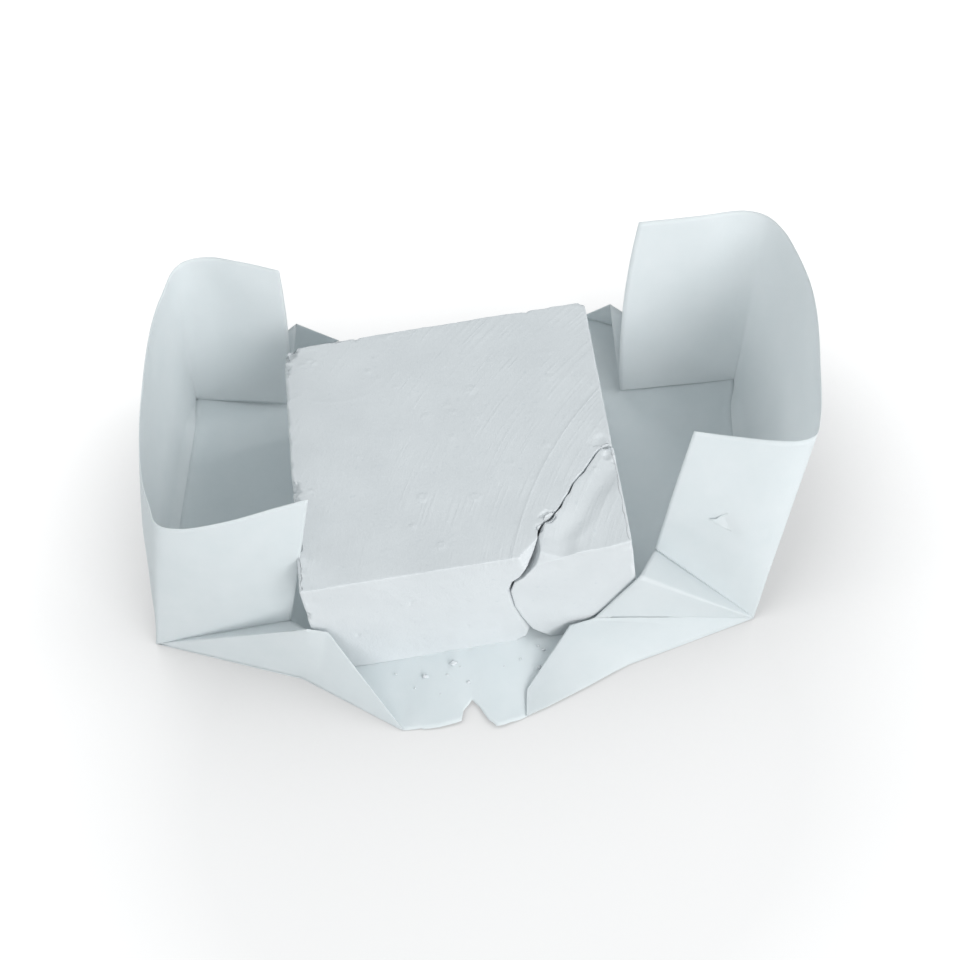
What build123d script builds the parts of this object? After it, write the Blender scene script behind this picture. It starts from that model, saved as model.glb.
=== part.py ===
from build123d import *
import math
import os

os.makedirs("parts", exist_ok=True)

# Millimetres. +Z is up, z = 0 is the underside of the paper floor, and
# x = y = 0 is the middle of the chalk block standing on it.

# chalk block
BLOCK_SIDE = 66.0
BLOCK_HEIGHT = 28.0
BLOCK_EDGE_WEAR = 1.2
FRACTURE_GAP = 0.35

# broken front right corner: where the break meets the front and right faces,
# measured from that corner, how far it bows in between and how far it undercuts
FRACTURE_ON_FRONT = 18.5
FRACTURE_ON_RIGHT = 25.0
FRACTURE_BOW = 2.3
FRACTURE_UNDERCUT = 5.6

# paper wrapper
PAPER = 0.4
CREASE_GAP = 0.5
STAND_OFF = 0.15
WRAP_SLACK = 3.0
WRAP_EASE = 1.0
FLOOR_TURN = -8.5
FLOOR_SHIFT_X = -1.5
FLOOR_SHIFT_Y = 5.3
EAR_HEIGHT = 40.0
EAR_BULGE = 5.2
EAR_FOOT_BULGE = 0.6
FRONT_FLAP_DEPTH = 24.0
FRONT_FLAP_KNEE = 10.0
BACK_FLAP_DEPTH = 17.0
BACK_FLAP_KNEE = 7.0
KNEE_LEFT = 30.0
KNEE_RIGHT = 38.0
TOE_LEFT = 10.0
TOE_RIGHT = 16.5
GUSSET_INSET = 4.0

# how far the top of each upright fold stands from its foot, in x and y
LEFT_FRONT_LEAN = (9.5, -1.1)
LEFT_BACK_LEAN = (6.8, 5.1)
RIGHT_FRONT_LEAN = (15.3, 11.6)
RIGHT_BACK_LEAN = (9.5, 9.5)

# end walls of the ears: (width, turn from +X in degrees, rise of the free end)
LEFT_FRONT_WALL = (25.0, -5.5, 3.4)
LEFT_BACK_WALL = (22.5, -18.0, 1.0)
RIGHT_FRONT_WALL = (21.5, 154.5, 5.0)
RIGHT_BACK_WALL = (26.5, 174.5, 0.5)

# gusset peaks, measured from the nearest block corner (outwards x, outwards y, z)
LEFT_FRONT_PEAK = (-3.0, 1.6, 15.0)
RIGHT_FRONT_PEAK = (2.2, 2.4, 17.0)
LEFT_BACK_PEAK = (-2.0, 17.0, 18.0)
RIGHT_BACK_PEAK = (6.2, 9.4, 16.0)

# chalk crumbs lying on the front flap: (x, distance from the block's front, size, turn)
CRUMB_LIST = (
    (-6.2, 3.2, 1.5, 20.0),
    (-12.2, 5.0, 1.2, 65.0),
    (-3.6, 8.0, 0.9, 10.0),
    (11.2, 7.2, 1.1, 40.0),
)
CRUMB_DEPTH = 0.75
CRUMB_HEIGHT = 0.55
CRUMB_TAPER = 12

HALF = BLOCK_SIDE / 2
BLOCK_TOP = PAPER + BLOCK_HEIGHT
FLOOR_LENGTH = BLOCK_SIDE + 2 * BLOCK_HEIGHT + WRAP_SLACK
FLOOR_WIDTH = BLOCK_SIDE + WRAP_EASE


def wrapper_point(along, across, z=0.0):
    """A place on the wrapper: along its length and across it, from the floor panel's middle."""
    turn = math.radians(FLOOR_TURN)
    x = FLOOR_SHIFT_X + along * math.cos(turn) - across * math.sin(turn)
    y = FLOOR_SHIFT_Y + along * math.sin(turn) + across * math.cos(turn)
    return Vector(x, y, z)


LEFT_FRONT = wrapper_point(-FLOOR_LENGTH / 2, -FLOOR_WIDTH / 2)
LEFT_BACK = wrapper_point(-FLOOR_LENGTH / 2, FLOOR_WIDTH / 2)
RIGHT_FRONT = wrapper_point(FLOOR_LENGTH / 2, -FLOOR_WIDTH / 2)
RIGHT_BACK = wrapper_point(FLOOR_LENGTH / 2, FLOOR_WIDTH / 2)


def flat_panel(outline):
    """A flat sheet lying on the ground, as thick as the paper."""
    face = Face(Wire.make_polygon(outline, close=True))
    return extrude(face, amount=PAPER, dir=(0, 0, 1))


def slanting_panel(outline, towards):
    """A flat facet through the outline, thickened to the side that `towards` points to."""
    face = Face(Wire.make_polygon(outline, close=True))
    normal = (outline[1] - outline[0]).cross(outline[2] - outline[0]).normalized()
    if normal.dot(Vector(*towards)) < 0:
        normal = normal * -1
    return Solid.extrude(face, normal * PAPER)


# ---------------------------------------------------------------- chalk


def fracture_line(shift, gap):
    """Three places along the break: on the front face, in the middle and on the right face.

    shift moves the front end to the left, for the undercut, and gap widens the cut.
    """
    front_x = HALF - FRACTURE_ON_FRONT - shift
    right_y = FRACTURE_ON_RIGHT - HALF
    across = Vector(HALF - front_x, right_y + HALF, 0)
    outwards = Vector(-across.Y, across.X, 0).normalized()
    start = Vector(front_x, -HALF, 0) + outwards * gap
    end = Vector(HALF, right_y, 0) + outwards * gap
    bow = outwards * FRACTURE_BOW
    middle = (start + end) * 0.5 - bow
    return start, middle, end


def corner_prism(gap):
    """The broken corner's room: a ruled block whose foot reaches further left than its top."""
    reach = BLOCK_SIDE
    sections = []
    for z, shift in ((0.0, FRACTURE_UNDERCUT), (BLOCK_TOP + PAPER, 0.0)):
        start, middle, end = fracture_line(shift, gap)
        across = (end - start).normalized()
        first = start - across * reach
        last = end + across * reach
        corner = Vector(BLOCK_SIDE * 2, -BLOCK_SIDE * 2, 0)
        outline = [first, start, middle, end, last, corner]
        lifted = [p + Vector(0, 0, z) for p in outline]
        sections.append(Face(Wire.make_polygon(lifted, close=True)))
    return loft(sections, ruled=True)


def whole_block():
    """The moulded block with worn edges, standing on the paper floor."""
    body = Pos(0, 0, PAPER) * Box(
        BLOCK_SIDE, BLOCK_SIDE, BLOCK_HEIGHT, align=(Align.CENTER, Align.CENTER, Align.MIN)
    )
    return fillet(body.edges(), BLOCK_EDGE_WEAR)


def chalk_block():
    return whole_block() - corner_prism(FRACTURE_GAP)


def corner_chunk():
    return whole_block() & corner_prism(0.0)


def crumb(x, distance, size, turn):
    """One crumb: a low wedge-sided grain resting on the paper."""
    foot = Rectangle(size, size * CRUMB_DEPTH)
    grain = extrude(foot, amount=size * CRUMB_HEIGHT, taper=CRUMB_TAPER)
    return Pos(x, -HALF - distance, PAPER) * Rot(0, 0, turn) * grain


def chalk_crumbs():
    return Compound(children=[crumb(*one).solid() for one in CRUMB_LIST])


# ---------------------------------------------------------------- paper, lying flat


def floor_panel():
    """The rectangle between the four folds, clear of the ears and the flaps."""
    along = FLOOR_LENGTH / 2 - CREASE_GAP
    across = FLOOR_WIDTH / 2 - CREASE_GAP / 2
    corners = ((-along, -across), (along, -across), (along, across), (-along, across))
    return flat_panel([wrapper_point(a, b) for a, b in corners])


def flap_edge(side, depth, knee_depth):
    """The flap's corners: widest at its fold, narrowing at the knees to the free edge's toes."""
    fold = FLOOR_WIDTH / 2 + CREASE_GAP / 2
    knee = FLOOR_WIDTH / 2 + knee_depth
    far = FLOOR_WIDTH / 2 + depth
    wide = FLOOR_LENGTH / 2 - CREASE_GAP
    return (
        (-wide, side * fold),
        (-KNEE_LEFT, side * knee),
        (-TOE_LEFT, side * far),
        (TOE_RIGHT, side * far),
        (KNEE_RIGHT, side * knee),
        (wide, side * fold),
    )


FRONT_EDGE = flap_edge(-1, FRONT_FLAP_DEPTH, FRONT_FLAP_KNEE)
BACK_EDGE = flap_edge(1, BACK_FLAP_DEPTH, BACK_FLAP_KNEE)


def flap(edge):
    return flat_panel([wrapper_point(a, b) for a, b in edge])


# ---------------------------------------------------------------- paper, standing up


def lifted(foot, lean, height):
    """The place on an upright fold that is at the given height."""
    share = height / EAR_HEIGHT
    return foot + Vector(lean[0] * share, lean[1] * share, height)


def curved_strip(start, end, bulge, side):
    """A thin strip between two places at one height, bowed towards `side` (-1 left, 1 right)."""
    along = (end - start).normalized()
    outwards = Vector(along.Y, -along.X, 0) * side
    first = start + along * CREASE_GAP
    last = end - along * CREASE_GAP
    middle = (first + last) * 0.5 + outwards * bulge
    thick = outwards * PAPER
    inner = ThreePointArc(first, middle, last)
    outer = ThreePointArc(last + thick, middle + thick, first + thick)
    sides = [Line(last, last + thick), Line(first + thick, first)]
    return Face(Wire([inner.edge(), sides[0].edge(), outer.edge(), sides[1].edge()]))


def ear_wall(front, front_lean, back, back_lean, side):
    """The ear's long wall: nearly straight at its foot and bowed at its top edge."""
    foot_z = PAPER + STAND_OFF
    foot = curved_strip(
        lifted(front, front_lean, foot_z), lifted(back, back_lean, foot_z), EAR_FOOT_BULGE, side
    )
    top = curved_strip(
        lifted(front, front_lean, EAR_HEIGHT), lifted(back, back_lean, EAR_HEIGHT), EAR_BULGE, side
    )
    return loft([foot, top], ruled=True)


def end_wall(foot, lean, shape, towards):
    """A flat end wall hanging from an upright fold of the ear."""
    width, turn, rise = shape
    angle = math.radians(turn)
    along = Vector(width * math.cos(angle), width * math.sin(angle), rise)
    start = along.normalized() * CREASE_GAP
    low = lifted(foot, lean, PAPER + STAND_OFF) + start
    high = lifted(foot, lean, EAR_HEIGHT) + start
    return slanting_panel([low, low + along, high + along, high], towards)


def gusset(fold, peak_from, corner, edge, towards):
    """A three-cornered facet from the fold's end over its peak to the flap's free corner."""
    end = toe(edge, corner[0])
    lift = Vector(0, 0, PAPER * 2 + STAND_OFF)
    peak = Vector(corner[0] * HALF, corner[1] * HALF, 0)
    offset = Vector(corner[0] * peak_from[0], corner[1] * peak_from[1], peak_from[2])
    inset = (end - fold).normalized() * GUSSET_INSET
    return slanting_panel([fold + inset + lift, peak + offset, end - inset + lift], towards)


def toe(edge, side):
    """The flap's free corner on one side: -1 left, 1 right."""
    return wrapper_point(*edge[2 if side < 0 else 3])


# ---------------------------------------------------------------- the nodes

NODES = {
    "chalk_block": chalk_block(),
    "corner_chunk": corner_chunk(),
    "chalk_crumbs": chalk_crumbs(),
    "wrapper_floor": floor_panel(),
    "front_flap": flap(FRONT_EDGE),
    "back_flap": flap(BACK_EDGE),
    "left_wall": ear_wall(LEFT_FRONT, LEFT_FRONT_LEAN, LEFT_BACK, LEFT_BACK_LEAN, -1),
    "left_front_wall": end_wall(LEFT_FRONT, LEFT_FRONT_LEAN, LEFT_FRONT_WALL, (0, -1, 0)),
    "left_back_wall": end_wall(LEFT_BACK, LEFT_BACK_LEAN, LEFT_BACK_WALL, (0, 1, 0)),
    "left_front_gusset": gusset(LEFT_FRONT, LEFT_FRONT_PEAK, (-1, -1), FRONT_EDGE, (0, -1, 0)),
    "left_back_gusset": gusset(LEFT_BACK, LEFT_BACK_PEAK, (-1, 1), BACK_EDGE, (0, 1, 0)),
    "right_wall": ear_wall(RIGHT_FRONT, RIGHT_FRONT_LEAN, RIGHT_BACK, RIGHT_BACK_LEAN, 1),
    "right_front_wall": end_wall(RIGHT_FRONT, RIGHT_FRONT_LEAN, RIGHT_FRONT_WALL, (0, -1, 0)),
    "right_back_wall": end_wall(RIGHT_BACK, RIGHT_BACK_LEAN, RIGHT_BACK_WALL, (0, 1, 0)),
    "right_front_gusset": gusset(RIGHT_FRONT, RIGHT_FRONT_PEAK, (1, -1), FRONT_EDGE, (0, -1, 0)),
    "right_back_gusset": gusset(RIGHT_BACK, RIGHT_BACK_PEAK, (1, 1), BACK_EDGE, (0, 1, 0)),
}

for name, shape in NODES.items():
    export_step(shape, f"parts/{name}.step")
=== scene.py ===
import math

import bmesh
import bpy
import numpy as np
from mathutils import Matrix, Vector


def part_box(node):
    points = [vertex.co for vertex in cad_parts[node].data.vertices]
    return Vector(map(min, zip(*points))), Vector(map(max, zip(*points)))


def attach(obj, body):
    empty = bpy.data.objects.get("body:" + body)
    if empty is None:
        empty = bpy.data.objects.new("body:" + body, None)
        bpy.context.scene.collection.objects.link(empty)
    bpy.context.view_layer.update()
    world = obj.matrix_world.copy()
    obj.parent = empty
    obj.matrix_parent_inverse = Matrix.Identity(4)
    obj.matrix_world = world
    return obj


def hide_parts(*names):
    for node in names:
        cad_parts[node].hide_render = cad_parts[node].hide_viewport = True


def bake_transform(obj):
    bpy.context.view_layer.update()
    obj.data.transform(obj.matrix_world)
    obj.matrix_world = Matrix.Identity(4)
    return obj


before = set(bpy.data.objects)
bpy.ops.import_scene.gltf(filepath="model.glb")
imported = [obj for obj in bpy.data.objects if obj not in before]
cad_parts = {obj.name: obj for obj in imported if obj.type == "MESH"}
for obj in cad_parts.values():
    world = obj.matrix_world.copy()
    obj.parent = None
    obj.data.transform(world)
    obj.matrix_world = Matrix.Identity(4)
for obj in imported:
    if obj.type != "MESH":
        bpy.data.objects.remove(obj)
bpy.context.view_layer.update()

MM = 0.001

# The chalk block stands on the paper, whose upper side is the zero height below.
FLOOR_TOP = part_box("wrapper_floor")[1][2]
BLOCK_LOW, BLOCK_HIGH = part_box("chalk_block")
HALF = BLOCK_HIGH[0] / MM
BLOCK_HEIGHT = (BLOCK_HIGH[2] - BLOCK_LOW[2]) / MM


# ------------------------------------------------------------------ number tools


def lattice(seed, size=32):
    """A cube of random values from -1 to 1 that repeats."""
    return np.random.default_rng(seed).uniform(-1.0, 1.0, (size, size, size))


def noise(points, scale, seed):
    """Value noise: the lattice's eight values round each point, mixed by the smooth step 3t^2 - 2t^3."""
    grid = lattice(seed)
    size = grid.shape[0]
    place = np.asarray(points, float) / scale
    cell = np.floor(place).astype(int)
    t = place - cell
    t = t * t * (3.0 - 2.0 * t)
    total = 0.0
    for dx in (0, 1):
        for dy in (0, 1):
            for dz in (0, 1):
                corner = np.where([dx, dy, dz], t, 1.0 - t).prod(axis=-1)
                i, j, k = [(cell[..., a] + d) % size for a, d in enumerate((dx, dy, dz))]
                total = total + corner * grid[i, j, k]
    return total


def rough(points, scale, seed, octaves=3):
    """Noise added to itself at half the size and half the strength each time."""
    total = 0.0
    for n in range(octaves):
        total = total + noise(points, scale / 2.0 ** n, seed + n) / 2.0 ** n
    return total


def ease(low, high, x):
    """The smooth step from 0 at low to 1 at high."""
    t = np.clip((x - low) / (high - low), 0.0, 1.0)
    return t * t * (3.0 - 2.0 * t)


def curve_through(points, counts):
    """A centripetal Catmull-Rom curve through the points, with counts[i] steps from point i to i + 1."""
    p = np.asarray(points, float)
    p = np.vstack([2 * p[0] - p[1], p, 2 * p[-1] - p[-2]])
    parts = []
    for i, n in enumerate(counts):
        a, b, c, d = p[i:i + 4]
        t0 = 0.0
        t1 = t0 + max(np.linalg.norm(b - a), 1e-6) ** 0.5
        t2 = t1 + max(np.linalg.norm(c - b), 1e-6) ** 0.5
        t3 = t2 + max(np.linalg.norm(d - c), 1e-6) ** 0.5
        t = np.linspace(t1, t2, n, endpoint=False)[:, None]
        ab = (t1 - t) / (t1 - t0) * a + (t - t0) / (t1 - t0) * b
        bc = (t2 - t) / (t2 - t1) * b + (t - t1) / (t2 - t1) * c
        cd = (t3 - t) / (t3 - t2) * c + (t - t2) / (t3 - t2) * d
        abc = (t2 - t) / (t2 - t0) * ab + (t - t0) / (t2 - t0) * bc
        bcd = (t3 - t) / (t3 - t1) * bc + (t - t1) / (t3 - t1) * cd
        parts.append((t2 - t) / (t2 - t1) * abc + (t - t1) / (t2 - t1) * bcd)
    parts.append(p[-2][None])
    return np.vstack(parts)


def straight_through(points, counts):
    """Straight runs through the points, with counts[i] steps from point i to i + 1."""
    p = np.asarray(points, float)
    runs = [p[i] + (p[i + 1] - p[i]) * np.linspace(0, 1, n, endpoint=False)[:, None]
            for i, n in enumerate(counts)]
    return np.vstack(runs + [p[-1:]])


# ------------------------------------------------------------------ mesh tools


def grid_faces(rows, columns, wrap=False):
    """The quads of a grid of rows by columns of points, closed along the columns if wrap is true."""
    index = np.arange(rows * columns).reshape(rows, columns)
    across = np.roll(index, -1, axis=1) if wrap else index[:, 1:]
    here = index if wrap else index[:, :-1]
    quads = np.stack([here[:-1], across[:-1], across[1:], here[1:]], axis=-1)
    return quads.reshape(-1, 4)


def make_mesh(name, points, faces):
    """A mesh from points in millimetres above the paper floor, linked into the scene."""
    mesh = bpy.data.meshes.new(name)
    place = np.asarray(points, float).reshape(-1, 3) * MM
    place[:, 2] += FLOOR_TOP
    mesh.from_pydata(place.tolist(), [], np.asarray(faces).tolist())
    mesh.validate()
    piece = bpy.data.objects.new(name, mesh)
    bpy.context.scene.collection.objects.link(piece)
    return piece


def tidy_mesh(piece, merge=0.00001, recalc=True):
    """Merges doubled points, drops faces without area and points every face outwards."""
    work = bmesh.new()
    work.from_mesh(piece.data)
    bmesh.ops.remove_doubles(work, verts=work.verts, dist=merge)
    bmesh.ops.dissolve_degenerate(work, edges=work.edges, dist=merge)
    if recalc:
        bmesh.ops.recalc_face_normals(work, faces=work.faces)
    for face in work.faces:
        face.smooth = True
    work.to_mesh(piece.data)
    work.free()


def add_uv(piece, u, v):
    """The sheet's own flat coordinates, one pair a point, as a UV map."""
    layer = piece.data.uv_layers.new(name="flat")
    loops = np.zeros(len(piece.data.loops), dtype=np.int32)
    piece.data.loops.foreach_get("vertex_index", loops)
    pairs = np.stack([np.ravel(u)[loops], np.ravel(v)[loops]], axis=-1)
    layer.data.foreach_set("uv", pairs.astype(np.float32).ravel())


# ------------------------------------------------------------------ paper wrapper

# Fold ends on the paper floor, in millimetres: x, y, height above the floor.
LEFT_FRONT = (-68.0, -19.0, 0.0)
LEFT_BACK = (-58.0, 49.0, 0.0)
RIGHT_FRONT = (56.1, -36.4, 0.0)
RIGHT_BACK = (64.3, 28.6, 0.0)

# The lower free corners of the four end walls.
LEFT_FRONT_CORNER = (-37.6, -25.8, 10.0)
LEFT_BACK_CORNER = (-36.2, 41.8, 0.8)
RIGHT_FRONT_CORNER = (38.2, -24.8, 13.0)
RIGHT_BACK_CORNER = (38.5, 30.4, 0.5)

LEFT_FOLD = (LEFT_FRONT, LEFT_BACK)
RIGHT_FOLD = (RIGHT_FRONT, RIGHT_BACK)

# The peaks where the gussets stand against the block or behind it.
LEFT_FRONT_PEAK = (-33.5, -33.6, 16.3)
RIGHT_FRONT_PEAK = (33.9, -33.9, 16.8)
LEFT_BACK_PEAK = (-31.0, 50.0, 18.0)
RIGHT_BACK_PEAK = (39.2, 42.4, 16.0)

# The flaps' free corners on the ground.
LEFT_TOE = (-17.9, -50.1, 0.0)
RIGHT_TOE = (7.2, -51.4, 0.0)
LEFT_BACK_TOE = (-23.7, 60.0, 0.0)
RIGHT_BACK_TOE = (33.4, 55.4, 0.0)

PAPER_THICKNESS = 0.16

# The side walls turn up out of the floor in a soft bend; the seam lies halfway round it.
# Towards the ends of a side fold, over this share of its length, the bend sharpens to a crease.
SOFT_BEND = 4.5
BEND_ENDS = 0.16
HALF_TURN = 1.0 - math.sqrt(0.5)
ROWS_CROWD = 1.7

# The columns of the floor's front edge that are torn, and how ragged the tear is.
TORN_COLUMNS = slice(38, 90)
TORN_DEPTH = 0.25

# The tear in the right front wall, from its point along each edge, and how far it stands off. The lip
# sinks into the wall between these two shares of its length.
TEAR_UPPER_EDGE = [(50.2, -25.0, 22.3), (51.5, -25.2, 22.5), (52.6, -25.4, 23.4), (54.6, -25.8, 24.1)]
TEAR_LOWER_EDGE = [(50.4, -25.2, 22.1), (52.1, -26.0, 20.9), (54.0, -26.9, 19.8), (56.4, -28.0, 18.6)]
TEAR_LIFT = 0.42
TEAR_SINK = 1.07
TEAR_SINK_FROM, TEAR_SINK_TO = 0.25, 0.75

# A rib that runs straight.
NO_BELLY = (0.0, 0.0, 0.0)


def between(a, b, share):
    """The place a share of the way from a to b."""
    return tuple(p + (q - p) * share for p, q in zip(a, b))


# Each rib of an ear runs up the paper: foot, top, how far its middle stands out, steps to the next rib.
LEFT_EAR = [
    (LEFT_FRONT_CORNER, (-27.8, -22.2, 43.0), (0.0, -0.3, 0.0), 10),
    (between(LEFT_FRONT_CORNER, LEFT_FRONT, 0.24), (-34.9, -22.6, 42.3), (0.0, -0.8, 0.0), 12),
    (between(LEFT_FRONT_CORNER, LEFT_FRONT, 0.55), (-44.6, -22.9, 41.0), (0.0, -1.0, 0.0), 12),
    (between(LEFT_FRONT_CORNER, LEFT_FRONT, 0.88), (-54.4, -21.9, 40.0), (0.0, -0.5, 0.0), 6),
    (LEFT_FRONT, (-58.4, -19.9, 40.0), NO_BELLY, 5),
    (between(LEFT_FRONT, LEFT_BACK, 0.05), (-59.9, -14.7, 40.0), (-0.9, 0.0, 0.0), 7),
    (between(LEFT_FRONT, LEFT_BACK, 0.15), (-61.3, -7.9, 40.0), (-1.5, 0.0, 0.0), 12),
    (between(LEFT_FRONT, LEFT_BACK, 0.34), (-61.7, 5.5, 40.0), (-1.8, 0.0, 0.0), 12),
    (between(LEFT_FRONT, LEFT_BACK, 0.52), (-61.0, 17.9, 40.0), (-1.8, 0.0, 0.0), 12),
    (between(LEFT_FRONT, LEFT_BACK, 0.70), (-59.6, 30.3, 40.0), (-1.6, 0.0, 0.0), 8),
    (between(LEFT_FRONT, LEFT_BACK, 0.83), (-58.0, 38.3, 40.2), (-1.2, 0.2, 0.0), 7),
    (between(LEFT_FRONT, LEFT_BACK, 0.94), (-56.0, 44.5, 40.4), (-0.8, 0.3, 0.0), 6),
    (LEFT_BACK, (-54.1, 49.2, 40.8), (-0.2, 0.2, 0.0), 5),
    (between(LEFT_BACK, LEFT_BACK_CORNER, 0.10), (-51.4, 51.5, 41.0), (0.0, 0.4, 0.0), 6),
    (between(LEFT_BACK, LEFT_BACK_CORNER, 0.33), (-46.1, 51.7, 41.0), (0.0, 0.8, 0.0), 8),
    (between(LEFT_BACK, LEFT_BACK_CORNER, 0.66), (-39.2, 48.6, 41.0), (0.3, 0.6, 0.0), 10),
    (LEFT_BACK_CORNER, (-30.9, 44.9, 40.0), (0.9, 0.2, 0.0), 0),
]

RIGHT_EAR = [
    (RIGHT_FRONT_CORNER, (48.2, -20.8, 43.0), (-0.2, -0.2, 0.0), 10),
    (between(RIGHT_FRONT_CORNER, RIGHT_FRONT, 0.30), (54.9, -22.6, 42.0), (0.0, -0.6, 0.0), 12),
    (between(RIGHT_FRONT_CORNER, RIGHT_FRONT, 0.70), (64.9, -25.2, 41.0), (0.0, -0.6, 0.0), 6),
    (between(RIGHT_FRONT_CORNER, RIGHT_FRONT, 0.89), (68.8, -25.2, 40.3), (0.2, -0.3, 0.0), 5),
    (RIGHT_FRONT, (71.6, -24.0, 40.0), NO_BELLY, 5),
    (between(RIGHT_FRONT, RIGHT_BACK, 0.05), (72.9, -20.8, 40.0), (0.6, 0.0, 0.0), 6),
    (between(RIGHT_FRONT, RIGHT_BACK, 0.14), (74.3, -15.5, 40.0), (1.2, 0.0, 0.0), 8),
    (between(RIGHT_FRONT, RIGHT_BACK, 0.28), (76.0, -7.2, 40.0), (1.6, 0.0, 0.0), 12),
    (between(RIGHT_FRONT, RIGHT_BACK, 0.48), (78.2, 6.2, 40.0), (1.8, 0.0, 0.0), 10),
    (between(RIGHT_FRONT, RIGHT_BACK, 0.63), (78.8, 15.0, 40.0), (1.6, 0.0, 0.0), 7),
    (between(RIGHT_FRONT, RIGHT_BACK, 0.74), (78.5, 21.0, 40.0), (1.3, 0.0, 0.0), 7),
    (between(RIGHT_FRONT, RIGHT_BACK, 0.85), (77.7, 27.2, 40.0), (0.9, 0.2, 0.0), 6),
    (between(RIGHT_FRONT, RIGHT_BACK, 0.94), (76.6, 32.3, 40.0), (0.5, 0.3, 0.0), 6),
    (RIGHT_BACK, (74.0, 37.6, 40.0), (0.2, 0.2, 0.0), 6),
    (between(RIGHT_BACK, RIGHT_BACK_CORNER, 0.10), (69.7, 40.2, 40.0), (0.0, 0.5, 0.0), 9),
    (between(RIGHT_BACK, RIGHT_BACK_CORNER, 0.46), (60.1, 40.9, 40.0), (-0.4, 0.9, 0.0), 12),
    (RIGHT_BACK_CORNER, (47.1, 42.0, 40.0), (-1.3, 0.4, 0.0), 0),
]

# Each rib of a gusset runs from the ground or the fold's end up to the fold's ridge or free edge.
LEFT_FRONT_GUSSET = [
    (LEFT_FRONT, LEFT_FRONT_CORNER, NO_BELLY, 12),
    (LEFT_FRONT, LEFT_FRONT_PEAK, (0.0, 0.2, -0.3), 16),
    ((-37.6, -33.6, 0.0), LEFT_FRONT_PEAK, (0.0, -0.2, 0.2), 6),
    ((-34.6, -36.1, 0.0), (-29.6, -34.3, 15.2), (0.0, -0.3, 0.1), 28),
    (LEFT_TOE, LEFT_TOE, NO_BELLY, 0),
]

RIGHT_FRONT_GUSSET = [
    (RIGHT_FRONT, RIGHT_FRONT_CORNER, NO_BELLY, 12),
    (RIGHT_FRONT, RIGHT_FRONT_PEAK, (0.0, -0.3, 0.2), 16),
    (RIGHT_FRONT, (23.9, -33.8, 5.2), (0.0, 0.0, 0.3), 16),
    ((49.5, -37.8, 0.0), (22.6, -33.9, 4.9), (0.0, 0.0, 0.3), 14),
    ((29.3, -42.8, 0.0), (18.7, -34.3, 4.6), (0.0, -0.3, 0.6), 10),
    ((20.4, -46.6, 0.0), (12.8, -40.0, 1.8), (0.0, -0.2, 0.4), 8),
    ((11.6, -50.0, 0.0), (8.0, -45.4, 0.4), NO_BELLY, 6),
    (RIGHT_TOE, RIGHT_TOE, NO_BELLY, 0),
]

LEFT_BACK_GUSSET = [
    (LEFT_BACK, LEFT_BACK_CORNER, NO_BELLY, 12),
    (LEFT_BACK, LEFT_BACK_PEAK, (0.0, -0.2, -0.3), 16),
    ((-38.5, 55.5, 0.0), LEFT_BACK_PEAK, (0.0, 0.3, 0.2), 20),
    (LEFT_BACK_TOE, LEFT_BACK_TOE, NO_BELLY, 0),
]

RIGHT_BACK_GUSSET = [
    (RIGHT_BACK, RIGHT_BACK_CORNER, NO_BELLY, 12),
    (RIGHT_BACK, RIGHT_BACK_PEAK, (0.0, -0.2, -0.3), 16),
    ((48.5, 45.8, 0.0), RIGHT_BACK_PEAK, (0.0, 0.3, 0.2), 20),
    (RIGHT_BACK_TOE, RIGHT_BACK_TOE, NO_BELLY, 0),
]

# The floor's two long edges, left to right: the front one with its torn notch, and the back one.
FRONT_EDGE = [
    (LEFT_FRONT, 20), ((-37.6, -33.6, 0.0), 18), (LEFT_TOE, 12), ((-10.5, -50.7, 0.3), 8),
    ((-5.9, -50.2, 0.5), 4), ((-5.3, -48.1, 0.5), 4), ((-3.3, -45.7, 0.4), 4), ((-1.9, -47.7, 0.5), 5),
    ((-0.4, -51.0, 0.6), 4), ((1.0, -52.8, 0.6), 8), (RIGHT_TOE, 16), ((29.3, -42.8, 0.0), 16),
    (RIGHT_FRONT, 0),
]
BACK_EDGE = [
    (LEFT_BACK, 20), ((-38.5, 55.5, 0.0), 18), (LEFT_BACK_TOE, 12), ((-14.0, 57.5, 0.6), 8),
    ((-9.0, 56.6, 0.8), 4), ((-5.0, 56.3, 0.8), 4), ((-1.0, 56.0, 0.8), 4), ((3.0, 55.6, 0.8), 5),
    ((8.0, 55.0, 0.8), 4), ((14.0, 54.6, 0.6), 8), (RIGHT_BACK_TOE, 16), ((48.5, 45.8, 0.0), 16),
    (RIGHT_BACK, 0),
]


def along_path(points, count):
    """Even shares of the way along an open run of points."""
    points = np.asarray(points, float)
    length = np.concatenate([[0], np.cumsum(np.linalg.norm(np.diff(points, axis=0), axis=1))])
    places = np.linspace(0.0, length[-1], count)
    return np.stack([np.interp(places, length, points[:, a]) for a in range(points.shape[1])], axis=-1)


def grid_normals(grid):
    """Unit normals of a grid of points: the cross product of its two directions."""
    across = np.gradient(grid, axis=1)
    up = np.gradient(grid, axis=0)
    normal = np.cross(across, up)
    return normal / np.maximum(np.linalg.norm(normal, axis=-1, keepdims=True), 1e-9)


def bend_radius(points, fold):
    """How round the paper turns up at a fold: SOFT_BEND along it, sharpening to a crease at its ends."""
    start, end = np.asarray(fold[0]), np.asarray(fold[1])
    along = end - start
    share = (points - start) @ along / (along @ along)
    off = np.linalg.norm(points - start - share[..., None] * along, axis=-1)
    ends = ease(0.0, BEND_ENDS, share) * ease(0.0, BEND_ENDS, 1.0 - share)
    return SOFT_BEND * ends * (off < 0.5)


def bend_offset(radius, run):
    """How far a quarter round of this radius stands off one face at a run along the other."""
    left = np.clip(radius - run, 0.0, radius)
    return radius - np.sqrt(np.maximum(radius ** 2 - left ** 2, 0.0))


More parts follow.
